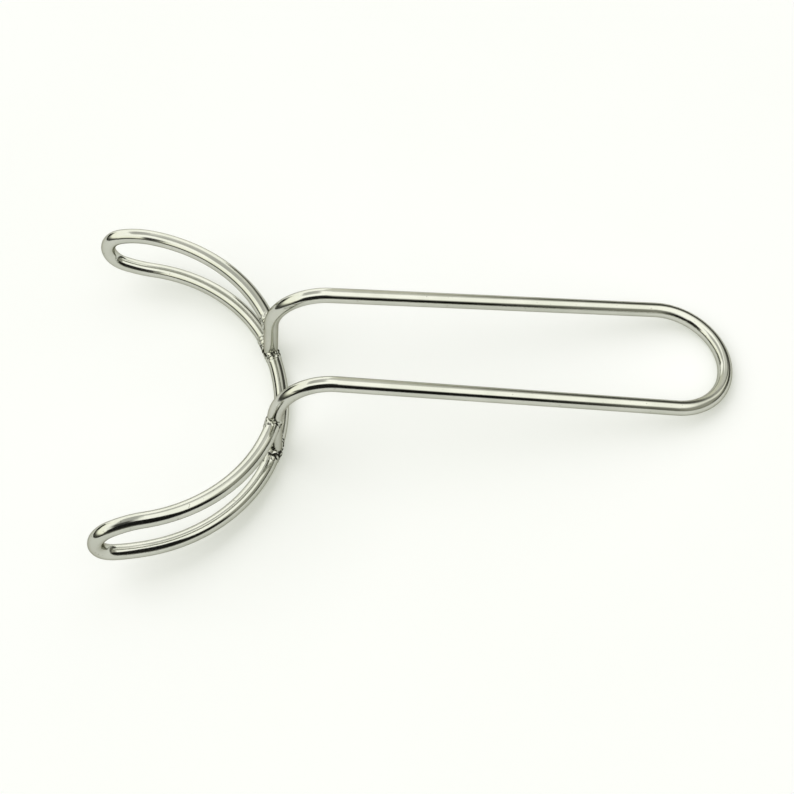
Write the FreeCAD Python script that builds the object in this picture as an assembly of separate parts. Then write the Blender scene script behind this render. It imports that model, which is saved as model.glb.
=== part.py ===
import FreeCAD, Part
import math
import os

# A wire mouth gag that holds the lips and cheeks apart.
# It is bent from round wire: a long U handle on two posts, two hairpin loops
# and a short bridge, joined by six weld beads. It has no moving parts.
# Lengths are millimetres and angles are degrees.
# Working frame: the lower strands of the loops lie in the plane Z = 0, the
# middle of the bridge is the origin and the handle runs towards +X.
# Right is the +Y side, as the hand behind the handle sees it.

# Wire
wire_diameter = 3.4

# Bridge: a shallow bow between the feet of the two posts
bridge_half_span = 13.7
bridge_bow = 2.08

# Loops: each runs out from a post along an arc, turns back and returns above
loop_radius = 35.4
loop_sweep = 62.1
loop_height = 10.7
loop_flare = 2.9
loop_setback = 0.63
tip_reach = 10.6

# Handle: two straight legs joined by a round end, raised on two posts
handle_length = 101.5
handle_end_radius = 13.9
handle_half_gap = 11.7
handle_height = 24.1
handle_end_height = 14.1
bend_radius = 11.6
post_setback = 0.57

# Posts: each runs down past the middle of the wires that are welded to it
post_tail = 1.5
weld_gap = 0.3

# Weld beads: start and end of each, out from the middle of its post
lower_bead = (0.8, 5.4)
bridge_bead = (0.8, 3.2)
upper_bead = (0.6, 3.8)
ripple_pitch = 0.9
ripple_valley = 0.09
ripple_crest = 0.17
ripple_lean = 0.7

wire_radius = wire_diameter / 2
bridge_radius = (bridge_half_span ** 2 + bridge_bow ** 2) / (2 * bridge_bow)
bridge_end_angle = math.degrees(math.asin(bridge_half_span / bridge_radius))
handle_slope = math.degrees(math.atan2(handle_height - handle_end_height, handle_length))
rest_tilt = math.degrees(math.atan2(handle_end_height, handle_length))


def vec(x, y, z):
    return FreeCAD.Vector(x, y, z)


AXIS_X = vec(1, 0, 0)
AXIS_Y = vec(0, 1, 0)
ORIGIN = vec(0, 0, 0)


def unit(way):
    return way * (1 / way.Length)


def across_middle(point):
    return vec(point.x, -point.y, point.z)


def line_edge(start, end):
    return Part.LineSegment(start, end).toShape()


def arc_edge(start, middle, end):
    return Part.Arc(start, middle, end).toShape()


def arc_along(start, way, end):
    """Arc that leaves start along the unit vector way and reaches end."""
    chord = end - start
    lean = way.dot(unit(chord))
    rise = (way - unit(chord) * lean) * (chord.Length / 2 / (1 + lean))
    return arc_edge(start, start + chord / 2 + rise, end)


def smooth_arcs(start, start_way, end, end_way):
    """Two arcs from start to end, smooth where they meet and true to both ways."""
    chord = end - start
    ways = start_way + end_way
    spread = 4 - ways.dot(ways)
    along = chord.dot(ways)
    # Points this far along both ways are the corners that the arcs round off.
    reach = (math.sqrt(along ** 2 + spread * chord.dot(chord)) - along) / spread
    first_corner = start + start_way * reach
    second_corner = end - end_way * reach
    joint = (first_corner + second_corner) / 2
    return [
        arc_along(start, start_way, joint),
        arc_along(joint, unit(second_corner - first_corner), end),
    ]


def sweep_wire(edges):
    """Round wire along a chain of edges."""
    first = edges[0]
    start = first.valueAt(first.FirstParameter)
    along = first.tangentAt(first.FirstParameter)
    section = Part.Wire(Part.makeCircle(wire_radius, start, along))
    return Part.Wire(edges).makePipeShell([section], True, False)


# Handle

def handle_point(along, across):
    """Point in the sloping plane of the handle, measured from above the bridge."""
    slope = math.radians(handle_slope)
    return vec(along * math.cos(slope), across, handle_height - along * math.sin(slope))


def end_centre():
    """Distance along the handle to the centre of its round end."""
    return handle_length / math.cos(math.radians(handle_slope)) - handle_end_radius


def leg_corner():
    """Where a leg and its post would meet if the bend were sharp."""
    back = (-bridge_bow - post_setback) / math.cos(math.radians(handle_slope))
    return back, handle_half_gap


def leg_tangent():
    """Angle at the centre of the round end where the leg runs into it."""
    back, across = leg_corner()
    reach = math.hypot(end_centre() - back, across)
    lean = math.atan2(across, back - end_centre())
    return lean - math.acos(handle_end_radius / reach)


def end_point(angle):
    along = end_centre() + handle_end_radius * math.cos(angle)
    return handle_point(along, handle_end_radius * math.sin(angle))


def post_foot():
    """Middle of the right post at the height of the lower strands."""
    return vec(-bridge_bow, bridge_half_span, 0)


def post_way():
    """Direction up the right post."""
    return unit(handle_point(*leg_corner()) - post_foot())


def post_middle(height):
    return post_foot() + post_way() * (height / post_way().z)


def bend_points(corner, leg_way, down_way):
    """Start, middle and end of the arc that rounds the corner."""
    half = leg_way.getAngle(down_way) / 2
    cut = bend_radius / math.tan(half)
    inward = unit(leg_way + down_way)
    centre = corner + inward * (bend_radius / math.sin(half))
    return corner + leg_way * cut, centre - inward * bend_radius, corner + down_way * cut


def handle_wire():
    corner = handle_point(*leg_corner())
    joint = end_point(leg_tangent())
    leg_way = unit(joint - corner)
    bend_start, bend_middle, bend_end = bend_points(corner, leg_way, -post_way())
    tail = post_foot() - post_way() * post_tail
    right = [
        line_edge(tail, bend_end),
        arc_edge(bend_end, bend_middle, bend_start),
        line_edge(bend_start, joint),
    ]
    round_end = arc_edge(joint, end_point(0), across_middle(joint))
    left = [
        line_edge(across_middle(joint), across_middle(bend_start)),
        arc_edge(across_middle(bend_start), across_middle(bend_middle), across_middle(bend_end)),
        line_edge(across_middle(bend_end), across_middle(tail)),
    ]
    return sweep_wire(right + [round_end] + left)


# Bridge

def bridge_point(distance):
    """Point of the bridge at a distance along it from the right post."""
    turn = math.radians(bridge_end_angle) - distance / bridge_radius
    return vec(bridge_radius * (math.cos(turn) - 1), bridge_radius * math.sin(turn), 0)


def bridge_wire():
    """The bow stops short of both posts by the weld gap."""
    end = bridge_point(wire_radius + weld_gap)
    return sweep_wire([arc_edge(across_middle(end), ORIGIN, end)])


# Loops

def strand_way(angle):
    """Direction of the lower strand, turned from +Y towards -X."""
    turn = math.radians(angle)
    return vec(-math.sin(turn), math.cos(turn), 0)


def strand_point(angle):
    """Point of the lower strand where its direction has turned to the angle."""
    turned = strand_way(angle) - strand_way(bridge_end_angle)
    return post_foot() + vec(turned.y, -turned.x, 0) * loop_radius


def raised_way(way):
    return FreeCAD.Rotation(AXIS_Y, loop_flare).multVec(way)


def raised(point):
    """Carry a point of the lower strand to the upper strand."""
    foot = post_foot()
    return foot + raised_way(point - foot) + vec(-loop_setback, 0, loop_height)


def lower_point(distance):
    """Point of the lower strand at a distance along it from the post."""
    return strand_point(bridge_end_angle + math.degrees(distance / loop_radius))


def upper_point(distance):
    """Point of the upper strand at a distance along it from the post, which leans in."""
    offset = raised(post_foot()) - post_middle(loop_height)
    return raised(lower_point(distance - offset.dot(strand_way(bridge_end_angle))))


def hairpin(start, start_way, end, end_way):
    """Turn at the tip of a loop, out to its apex and back."""
    across = end - start
    outward = start_way - end_way
    outward -= across * (outward.dot(across) / across.dot(across))
    apex = (start + end) / 2 + unit(outward) * tip_reach
    out = smooth_arcs(start, start_way, apex, unit(across))
    back = smooth_arcs(apex, unit(across), end, end_way)
    return out + back


def loop_wire():
    """Loop on the right side: out along the lower strand, back along the upper one."""
    start = wire_radius + weld_gap
    last = bridge_end_angle + loop_sweep
    middle = strand_point(bridge_end_angle + loop_sweep / 2)
    end = strand_point(last)
    way = strand_way(last)
    lower = arc_edge(lower_point(start), middle, end)
    upper = arc_edge(raised(end), raised(middle), upper_point(start))
    return sweep_wire([lower] + hairpin(end, way, raised(end), -raised_way(way)) + [upper])


# Weld beads

def bead(point_at, reach):
    """Rippled sleeve along a stretch of a strand, solid until the wires are cut out."""
    start, end = point_at(reach[0]), point_at(reach[1])
    length = (end - start).Length
    count = max(1, round(length / ripple_pitch))
    step = length / count
    valley = wire_radius + ripple_valley
    crest = wire_radius + ripple_crest
    points = [ORIGIN, vec(0, valley, 0)]
    for index in range(count):
        points.append(vec((index + ripple_lean) * step, crest, 0))
        points.append(vec((index + 1) * step, valley, 0))
    points += [vec(length, 0, 0), ORIGIN]
    sleeve = Part.Face(Part.makePolygon(points)).revolve(ORIGIN, AXIS_X, 360)
    sleeve.Placement = FreeCAD.Placement(start, FreeCAD.Rotation(AXIS_X, end - start))
    return sleeve


# Placing

def mirrored(shape):
    return shape.mirror(ORIGIN, AXIS_Y)


def build_pieces():
    """All pieces in the working frame, by node name."""
    handle = handle_wire()
    bridge = bridge_wire()
    loop = loop_wire()
    right = {
        "loop_wire": loop,
        "lower_weld": bead(lower_point, lower_bead).cut(handle).cut(loop),
        "upper_weld": bead(upper_point, upper_bead).cut(handle).cut(loop),
        "bridge_weld": bead(bridge_point, bridge_bead).cut(handle).cut(bridge),
    }
    pieces = {"handle_wire": handle, "bridge_wire": bridge}
    for name, shape in right.items():
        pieces[name + "_right"] = shape
        pieces[name + "_left"] = mirrored(shape)
    return pieces


def lay_on_table(shape):
    """Tip the piece so that the bridge and the round end of the handle touch Z = 0."""
    shape.rotate(ORIGIN, AXIS_Y, rest_tilt)
    shape.translate(vec(0, 0, wire_radius))
    return shape


def centre_shift(pieces):
    """Shift that brings the middle of the whole length to X = 0."""
    box = Part.Compound(list(pieces.values())).optimalBoundingBox()
    return vec(-(box.XMin + box.XMax) / 2, 0, 0)


os.makedirs("parts", exist_ok=True)
laid = {name: lay_on_table(shape) for name, shape in build_pieces().items()}
shift = centre_shift(laid)
for name, shape in laid.items():
    shape.translate(shift)
    shape.exportStep("parts/" + name + ".step")
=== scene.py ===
import math

import bpy
from mathutils import Matrix, Vector, noise


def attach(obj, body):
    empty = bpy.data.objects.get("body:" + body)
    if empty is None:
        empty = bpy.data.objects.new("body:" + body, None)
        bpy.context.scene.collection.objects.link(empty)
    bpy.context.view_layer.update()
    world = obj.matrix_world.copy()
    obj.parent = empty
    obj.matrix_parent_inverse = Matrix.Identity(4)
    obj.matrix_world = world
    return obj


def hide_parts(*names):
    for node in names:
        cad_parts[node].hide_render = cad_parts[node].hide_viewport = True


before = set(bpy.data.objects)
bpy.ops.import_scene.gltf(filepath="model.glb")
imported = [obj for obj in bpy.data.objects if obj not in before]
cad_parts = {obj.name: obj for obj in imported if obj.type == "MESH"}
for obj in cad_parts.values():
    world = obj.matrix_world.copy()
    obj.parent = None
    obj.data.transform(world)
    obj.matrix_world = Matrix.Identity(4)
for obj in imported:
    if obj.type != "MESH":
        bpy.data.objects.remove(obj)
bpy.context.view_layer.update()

# A wire mouth gag of polished stainless steel, lying on a pale table.
# Lengths are metres. The handle runs towards +X and the camera looks from -Y.

# Camera, matched to the photograph
IMAGE_SIZE = 794
FOCAL_PIXELS = 1403.0
SENSOR_WIDTH = 36.0
CAMERA_ELEVATION = math.radians(56.0)
CAMERA_AZIMUTH = math.radians(-1.911)
CAMERA_ROLL = math.radians(-3.319)
CAMERA_DISTANCE = 0.3240
CAMERA_TARGET = Vector((-0.00526, -0.00105, 0.0))

# Table
FLOOR_SIZE = 8.0
FLOOR_COLOUR = (0.972, 0.957, 0.985, 1.0)
FLOOR_SHADE = (0.962, 0.950, 0.965, 1.0)
FLOOR_GLOW = (0.93, 0.99, 0.80, 1.0)
FLOOR_GLOW_SHARE = 0.33
BACKGROUND_WHITE = (0.96, 0.97, 0.93, 1.0)

# Lamps that light the table: direction that each comes from (degrees from +Y
# towards +X, and above the horizon), its width in degrees and its strength.
# The wire itself reflects the studio that is described further down.
LAMPS = [
    ("overhead_light", 0, 88, 130, 2.28),
    ("left_light", -85, 50, 60, 1.35),
]

# Studio, as the polished wire reflects it: each patch has the direction of its
# middle (degrees from +Y towards +X), its half width, its lower and upper edge
# (degrees above the horizon), the softness of its edges, and its light. Later
# patches cover earlier ones. The room's tint turns into the softboxes' on the way
# up, between two elevations.
ROOM_LIGHT = 0.34
ROOM_TINT = (1.0, 1.0, 0.84, 1.0)
SOFTBOX_TINT = (1.0, 1.0, 0.95, 1.0)
TINT_CHANGES_BETWEEN = (10, 60)
STUDIO_PATCHES = [
    # name, middle, half width, bottom, top, softness, light
    ("backdrop", 0, 46, -12, 95, 14, 0.85),
    ("right wall", 105, 30, 14, 60, 14, 0.45),
    ("left softbox", -95, 67, 20, 95, 14, 1.55),
    ("ceiling softbox", 0, 181, 60, 95, 9, 1.66),
    ("ceiling above the camera", 180, 85, 47, 95, 24, 1.62),
    ("ceiling on the right", 99, 50, 41, 95, 14, 1.60),
    ("ceiling over the white card", -26, 28, 42, 72, 8, 1.60),
    ("dark corner on the left", -50, 17, -20, 23, 10, 0.02),
    ("dark corner on the right", 53, 25, -20, 37, 9, 0.08),
    ("dark foot of the backdrop", 25, 5.5, -20, 24, 7, 0.08),
    ("dark foot of the left wall", -112, 42, -20, 13, 10, 0.06),
    ("window on the right", 68, 12, 25, 46, 8, 1.15),
    ("dark foot of the right wall", 92, 11, -20, 15, 9, 0.12),
]


def upright_card(left, right, y, bottom, top):
    """Corners of a card that stands across the view, from its foot round to its top."""
    return [(left, y, bottom), (right, y, bottom), (right, y, top), (left, y, top)]


def level_card(left, right, near, far, z):
    """Corners of a card that hangs level, from its near edge round to its far edge."""
    return [(left, near, z), (right, near, z), (right, far, z), (left, far, z)]


# Cards round the instrument, which show only in the polished wire. The fades are
# the shares of the card over which it fades out, from its left and right ends and
# from its first and second edges.
CARD_STEPS = 24
WHITE_CARD_CORNERS = [
    (-0.500, 0.600, 0.0),
    (0.004, 0.150, 0.0),
    (0.004, 0.150, 0.163),
    (-0.500, 0.600, 0.680),
]
LOW_CARD_CORNERS = upright_card(-0.060, 0.128, -0.100, 0.002, 0.110)
TALL_CARD_CORNERS = upright_card(-0.125, 0.034, -0.103, 0.016, 0.190)
HOOD_CORNERS = level_card(-0.090, -0.050, -0.064, -0.028, 0.054)
SEAM_CORNERS = level_card(-0.260, 0.026, -0.050, 0.600, 0.400)
CARDS = [
    # name, corners, fades, light
    ("white_card", WHITE_CARD_CORNERS, (0.0, 0.0, 0.0, 0.0), 1.62),
    ("low_black_card", LOW_CARD_CORNERS, (0.1, 0.36, 0.25, 0.25), 0.01),
    ("tall_black_card", TALL_CARD_CORNERS, (0.15, 0.15, 0.15, 0.20), 0.015),
    ("hood_over_left_tip", HOOD_CORNERS, (0.3, 0.4, 0.2, 0.5), 0.07),
    ("seam_between_softboxes", SEAM_CORNERS, (0.20, 0.22, 0.1, 0.1), 0.66),
]


def smooth_step(low, high, value):
    part = min(1.0, max(0.0, (value - low) / (high - low)))
    return part * part * (3.0 - 2.0 * part)


def direction(azimuth, elevation):
    """Unit vector at angles in radians: from +Y towards +X, and above the horizon."""
    level = math.cos(elevation)
    return Vector((math.sin(azimuth) * level, math.cos(azimuth) * level, math.sin(elevation)))


def aim_axes():
    """Camera right, up and forward directions in the table's frame."""
    forward = direction(-CAMERA_AZIMUTH, -CAMERA_ELEVATION)
    level = Vector((math.cos(CAMERA_AZIMUTH), math.sin(CAMERA_AZIMUTH), 0.0))
    upright = level.cross(forward)
    right = level * math.cos(CAMERA_ROLL) + upright * math.sin(CAMERA_ROLL)
    up = upright * math.cos(CAMERA_ROLL) - level * math.sin(CAMERA_ROLL)
    return right, up, forward


def make_camera():
    right, up, forward = aim_axes()
    data = bpy.data.cameras.new("camera")
    data.sensor_width = SENSOR_WIDTH
    data.lens = FOCAL_PIXELS / IMAGE_SIZE * SENSOR_WIDTH
    data.clip_start = 0.01
    data.clip_end = 50.0
    camera = bpy.data.objects.new("camera", data)
    rotation = Matrix((right, up, -forward)).transposed().to_4x4()
    camera.matrix_world = Matrix.Translation(CAMERA_TARGET - forward * CAMERA_DISTANCE) @ rotation
    bpy.context.scene.collection.objects.link(camera)
    bpy.context.scene.camera = camera


# Materials

STEEL_DULL = (0.525, 0.535, 0.475, 1.0)
STEEL_BRIGHT = (0.58, 0.585, 0.53, 1.0)
STEEL_EDGE = (0.45, 0.44, 0.38, 1.0)
SPECK_COLOUR = (0.16, 0.155, 0.12, 1.0)
SCORCH_COLOUR = (0.035, 0.035, 0.028, 1.0)


class Graph:
    """Short way to add shader nodes; an input is a number, a colour or a socket."""

    def __init__(self, tree):
        self.tree = tree
        tree.nodes.clear()

    def add(self, kind, inputs=(), **settings):
        node = self.tree.nodes.new("ShaderNode" + kind)
        for key, value in settings.items():
            setattr(node, key, value)
        pairs = inputs.items() if isinstance(inputs, dict) else enumerate(inputs)
        for key, value in pairs:
            if isinstance(value, bpy.types.NodeSocket):
                self.tree.links.new(value, node.inputs[key])
            else:
                node.inputs[key].default_value = value
        return node

    def math(self, operation, *inputs, **settings):
        return self.add("Math", inputs, operation=operation, **settings).outputs[0]

    def ramp(self, value, low, high, low_to=0.0, high_to=1.0):
        """Smooth step from low_to to high_to as value goes from low to high."""
        inputs = {"Value": value, "From Min": low, "From Max": high, "To Min": low_to, "To Max": high_to}
        return self.add("MapRange", inputs, interpolation_type="SMOOTHSTEP").outputs["Result"]

    def mix(self, amount, first, second):
        node = self.add("Mix", data_type="RGBA")
        for key, value in (("Factor", amount), ("A", first), ("B", second)):
            socket = [item for item in node.inputs if item.name == key and item.enabled][0]
            if isinstance(value, bpy.types.NodeSocket):
                self.tree.links.new(value, socket)
            else:
                socket.default_value = value
        return [item for item in node.outputs if item.enabled][0]

    def noise(self, position, scale, detail):
        inputs = {"Vector": position, "Scale": scale, "Detail": detail}
        return self.add("TexNoise", inputs).outputs["Fac"]

    def finish(self, shader, kind="OutputMaterial"):
        self.tree.links.new(shader, self.add(kind).inputs["Surface"])


def window(graph, value, low, high, soft):
    """One between low and high, falling smoothly to zero over soft at both ends."""
    rise = graph.ramp(value, low - soft / 2, low + soft / 2)
    fall = graph.ramp(value, high - soft / 2, high + soft / 2, 1.0, 0.0)
    return graph.math("MULTIPLY", rise, fall)


def new_material(name):
    material = bpy.data.materials.new(name)
    material.use_nodes = True
    return material, Graph(material.node_tree)


def steel_material():
    """Polished wire: smeared polish, a fine grain, shallow waves and a few specks."""
    material, graph = new_material("polished_steel")
    place = graph.add("TexCoord").outputs["Object"]
    smear = graph.noise(place, 140.0, 3.0)
    grain = graph.noise(place, 5200.0, 2.0)
    waves = graph.noise(place, 420.0, 1.0)
    specks = graph.ramp(graph.noise(place, 1500.0, 1.0), 0.73, 0.78)
    bright = graph.mix(graph.ramp(smear, 0.35, 0.68), STEEL_DULL, STEEL_BRIGHT)
    colour = graph.mix(graph.math("MULTIPLY", specks, 0.5), bright, SPECK_COLOUR)
    rough = graph.ramp(graph.math("MULTIPLY_ADD", grain, 0.35, smear), 0.45, 0.9, 0.085, 0.15)
    height = graph.math("MULTIPLY_ADD", waves, 3.0, grain)
    bump = graph.add("Bump", {"Strength": 0.10, "Distance": 0.00001, "Height": height}).outputs["Normal"]
    inputs = {"Base Color": colour, "Metallic": 1.0, "Roughness": rough, "Normal": bump}
    inputs["Specular Tint"] = STEEL_EDGE
    graph.finish(graph.add("BsdfPrincipled", inputs).outputs[0])
    return material


def weld_material():
    """Weld metal: like the wire but uneven, with scorched pits where the bead dips."""
    material, graph = new_material("weld_metal")
    place = graph.add("TexCoord").outputs["Object"]
    pits = graph.add("Attribute", attribute_name="pit").outputs["Fac"]
    lumps = graph.noise(place, 700.0, 2.0)
    grain = graph.noise(place, 4200.0, 2.0)
    metal = graph.mix(graph.ramp(lumps, 0.4, 0.62), STEEL_DULL, STEEL_BRIGHT)
    edge = graph.math("MULTIPLY_ADD", grain, 0.3, pits)
    colour = graph.mix(graph.ramp(edge, 0.38, 0.62), metal, SCORCH_COLOUR)
    rough = graph.ramp(edge, 0.1, 0.8, 0.11, 0.45)
    height = graph.math("MULTIPLY_ADD", lumps, 2.0, grain)
    bump = graph.add("Bump", {"Strength": 0.5, "Distance": 0.00005, "Height": height}).outputs["Normal"]
    inputs = {"Base Color": colour, "Metallic": 1.0, "Roughness": rough, "Normal": bump}
    inputs["Specular Tint"] = STEEL_EDGE
    graph.finish(graph.add("BsdfPrincipled", inputs).outputs[0])
    return material


def floor_material():
    """Matt pale table. A small share of glow stands for light from the room."""
    material, graph = new_material("pale_table")
    place = graph.add("TexCoord").outputs["Object"]
    colour = graph.mix(graph.ramp(graph.noise(place, 9.0, 3.0), 0.3, 0.7), FLOOR_COLOUR, FLOOR_SHADE)
    matt = graph.add("BsdfDiffuse", {"Color": colour}).outputs[0]
    glow = graph.add("Emission", {"Color": FLOOR_GLOW, "Strength": 1.0}).outputs[0]
    graph.finish(graph.add("MixShader", [FLOOR_GLOW_SHARE, matt, glow]).outputs[0])
    return material


def card_material(name, light):
    """Even light or dark that fades out where the card's own mesh says so."""
    material, graph = new_material(name)
    shown = graph.add("Attribute", attribute_name="shown").outputs["Fac"]
    lit = graph.add("Emission", {"Color": SOFTBOX_TINT, "Strength": light}).outputs[0]
    clear = graph.add("BsdfTransparent").outputs[0]
    graph.finish(graph.add("MixShader", [shown, clear, lit]).outputs[0])
    return material


def stage_mesh(name, points, faces, material):
    mesh = bpy.data.meshes.new(name)
    mesh.from_pydata(points, [], faces)
    mesh.materials.append(material)
    piece = bpy.data.objects.new(name, mesh)
    bpy.context.scene.collection.objects.link(piece)
    return piece


def make_floor():
    half = FLOOR_SIZE / 2
    corners = [(-half, -half, 0), (half, -half, 0), (half, half, 0), (-half, half, 0)]
    stage_mesh("table_top", corners, [(0, 1, 2, 3)], floor_material())


def fade(part, share):
    """How much shows at a part of the way in from an edge that fades over share."""
    return 1.0 if share == 0 else smooth_step(0.0, share, part)


def make_card(name, corners, fades, light):
    """Flat grid between the four corners, with how much of it shows at each point."""
    first_left, first_right, second_right, second_left = [Vector(corner) for corner in corners]
    points, shown, faces = [], [], []
    for row in range(CARD_STEPS + 1):
        up = row / CARD_STEPS
        left_end = first_left.lerp(second_left, up)
        right_end = first_right.lerp(second_right, up)
        for column in range(CARD_STEPS + 1):
            over = column / CARD_STEPS
            points.append(left_end.lerp(right_end, over))
            across = fade(over, fades[0]) * fade(1.0 - over, fades[1])
            shown.append(across * fade(up, fades[2]) * fade(1.0 - up, fades[3]))
    for row in range(CARD_STEPS):
        for column in range(CARD_STEPS):
            low = row * (CARD_STEPS + 1) + column
            faces.append((low, low + 1, low + CARD_STEPS + 2, low + CARD_STEPS + 1))
    piece = stage_mesh(name, points, faces, card_material(name, light))
    piece.data.attributes.new("shown", "FLOAT", "POINT").data.foreach_set("value", shown)
    piece.visible_camera = False
    piece.visible_diffuse = False
    piece.visible_transmission = False
    piece.visible_shadow = False


def make_lamps():
    """Wide suns that light the table evenly with soft shadows. The wire doesn't reflect them."""
    for name, azimuth, elevation, width, strength in LAMPS:
        data = bpy.data.lights.new(name, "SUN")
        data.energy = strength
        data.angle = math.radians(width)
        lamp = bpy.data.objects.new(name, data)
        toward = direction(math.radians(azimuth), math.radians(elevation))
        lamp.matrix_world = toward.to_track_quat("Z", "Y").to_matrix().to_4x4()
        lamp.visible_glossy = False
        bpy.context.scene.collection.objects.link(lamp)


# Studio

def make_world():
    world = bpy.data.worlds.new("studio")
    world.use_nodes = True
    graph = Graph(world.node_tree)
    split = graph.add("SeparateXYZ", [graph.add("TexCoord").outputs["Generated"]])
    x, y, z = split.outputs
    elevation = graph.math("DEGREES", graph.math("ARCSINE", z))
    azimuth = graph.math("DEGREES", graph.math("ARCTAN2", x, y))
    tint = graph.mix(graph.ramp(elevation, *TINT_CHANGES_BETWEEN), ROOM_TINT, SOFTBOX_TINT)
    light = ROOM_LIGHT
    for name, middle, half, bottom, top, soft, level in STUDIO_PATCHES:
        turned = graph.math("SUBTRACT", azimuth, float(middle))
        away = graph.math("ABSOLUTE", graph.math("WRAP", turned, 180.0, -180.0))
        across = graph.ramp(away, half - soft / 2, half + soft / 2, 1.0, 0.0)
        between = window(graph, elevation, bottom, top, soft)
        mask = graph.math("MULTIPLY", across, between, label=name)
        more = graph.math("SUBTRACT", float(level), light)
        light = graph.math("MULTIPLY_ADD", mask, more, light)
    studio = graph.add("Background", {"Color": tint, "Strength": light}).outputs[0]
    white = graph.add("Background", {"Color": BACKGROUND_WHITE, "Strength": 1.0}).outputs[0]
    seen = graph.add("LightPath").outputs["Is Camera Ray"]
    graph.finish(graph.add("MixShader", [seen, studio, white]).outputs[0], "OutputWorld")
    # The lamps light the table and the studio is what the wire reflects.
    world.cycles_visibility.diffuse = False
    bpy.context.scene.world = world


# Weld beads

MILLIMETRE = 0.001
WIRE_RADIUS = 0.0017
TABLE_CLEARANCE = 0.00002
RINGS = 44
SEGMENTS = 56

# Surface of a bead in millimetres: heights out from the wire and the pitch of the
# ripples along it. The outer end of the bead is sunk in the wire.
SUNK_END = -0.05
LEAST_HEIGHT = 0.06
RIPPLE_PITCH = 1.05
RIPPLE_HEIGHT = 0.09
LUMP_HEIGHT = 0.11
PIT_DEPTH = 0.16

# How far the ripples sway and lean, how narrow their crests are, how fast the
# flare falls off, and how much more pitted the side towards the handle is
RIPPLE_SWAY = 0.35
RIPPLE_LEAN = 0.12
RIPPLE_SHARPNESS = 1.6
FLARE_FALL = 1.7
HANDLE_SIDE_PITTING = 0.22

# Share of its length at which a bead starts to sink into the wire, the noise at
# which a pit starts and is full, and how much of it the crest of a ripple keeps out
TAPER_START = 0.55
PIT_EDGE = (-0.06, 0.10)
CREST_SHELTER = 0.5

# Scale of the noise, per metre, and where in it the lumps and pits are taken
SWAY_SCALE = 900.0
LUMP_SCALE = 1500.0
PIT_SCALE = 950.0
LUMP_SHIFT = Vector((3.1, 0.7, 5.3))
PIT_SHIFT = Vector((8.2, 4.4, 1.9))

# Start, end and flare of each bead on the right side, in millimetres. It starts
# inside the post and runs out along its wire.
BEADS = {
    "lower_weld": ((-33.90, 14.05, 2.02), (-35.80, 18.72, 2.26), 0.26),
    "upper_weld": ((-32.80, 13.05, 12.64), (-33.92, 16.38, 12.85), 0.20),
    "bridge_weld": ((-33.68, 13.25, 1.97), (-32.69, 9.20, 1.83), 0.18),
}


def bead_surface(start, axis, side, lift, length, flare, along, turn):
    """Point of the bead, and how much of a scorched pit it lies in."""
    outward = side * math.cos(turn) + lift * math.sin(turn)
    spot = start + axis * along * length + outward * WIRE_RADIUS
    sway = noise.noise(spot * SWAY_SCALE)
    reach = along * length / MILLIMETRE + RIPPLE_SWAY * sway + RIPPLE_LEAN * math.cos(turn)
    phase = reach / RIPPLE_PITCH
    ripple = (0.5 + 0.5 * math.cos(2.0 * math.pi * phase)) ** RIPPLE_SHARPNESS
    lump = noise.noise(spot * LUMP_SCALE + LUMP_SHIFT)
    inner = smooth_step(1.0, TAPER_START, along)
    build = flare * (1.0 - along) ** FLARE_FALL
    height = SUNK_END + inner * (LEAST_HEIGHT + build + RIPPLE_HEIGHT * ripple + LUMP_HEIGHT * lump)
    # Pits, and the scorched colour with them, lie mostly on the side facing the handle (+X).
    patch = noise.noise(spot * PIT_SCALE + PIT_SHIFT) + HANDLE_SIDE_PITTING * outward.x
    pit = inner * smooth_step(*PIT_EDGE, patch) * (1.0 - CREST_SHELTER * ripple)
    height -= PIT_DEPTH * pit
    point = start + axis * along * length + outward * (WIRE_RADIUS + height * MILLIMETRE)
    # Beads near the table are flattened just clear of it.
    point.z = max(point.z, TABLE_CLEARANCE)
    return point, pit


def make_bead(node, start, end, flare, material):
    """Rippled tube round the wire, closed at both ends inside the metal."""
    axis = end - start
    length = axis.length
    axis.normalize()
    side = axis.cross(Vector((0.0, 0.0, 1.0))).normalized()
    lift = side.cross(axis)
    points, pits, faces = [start.copy()], [0.0], []
    for ring in range(RINGS):
        for segment in range(SEGMENTS):
            turn = 2.0 * math.pi * segment / SEGMENTS
            point, pit = bead_surface(start, axis, side, lift, length, flare, ring / (RINGS - 1), turn)
            points.append(point)
            pits.append(pit)
    last = len(points)
    points.append(end.copy())
    pits.append(0.0)
    for segment in range(SEGMENTS):
        after = (segment + 1) % SEGMENTS
        faces.append((0, 1 + after, 1 + segment))
        faces.append((last, last - SEGMENTS + segment, last - SEGMENTS + after))
        for ring in range(RINGS - 1):
            low = 1 + ring * SEGMENTS
            faces.append((low + segment, low + after, low + SEGMENTS + after, low + SEGMENTS + segment))
    mesh = bpy.data.meshes.new(node + "_bead")
    mesh.from_pydata(points, [], faces)
    mesh.shade_smooth()
    mesh.attributes.new("pit", "FLOAT", "POINT").data.foreach_set("value", pits)
    mesh.materials.append(material)
    bead = bpy.data.objects.new(node + "_bead", mesh)
    bpy.context.scene.collection.objects.link(bead)
    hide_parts(node)
    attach(bead, "root")


def make_beads(material):
    """Six beads: three on the right side and three in the mirrored places on the left."""
    for kind, (start, end, flare) in BEADS.items():
        for hand, mirror in (("right", 1.0), ("left", -1.0)):
            ends = [Vector((x, y * mirror, z)) * MILLIMETRE for x, y, z in (start, end)]
            make_bead(kind + "_" + hand, ends[0], ends[1], flare, material)


make_camera()
make_floor()
for card in CARDS:
    make_card(*card)
make_lamps()
make_world()
steel = steel_material()
weld = weld_material()
make_beads(weld)
for name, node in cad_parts.items():
    node.data.materials.clear()
    node.data.materials.append(weld if "weld" in name else steel)
bpy.context.scene.view_settings.view_transform = "Standard"
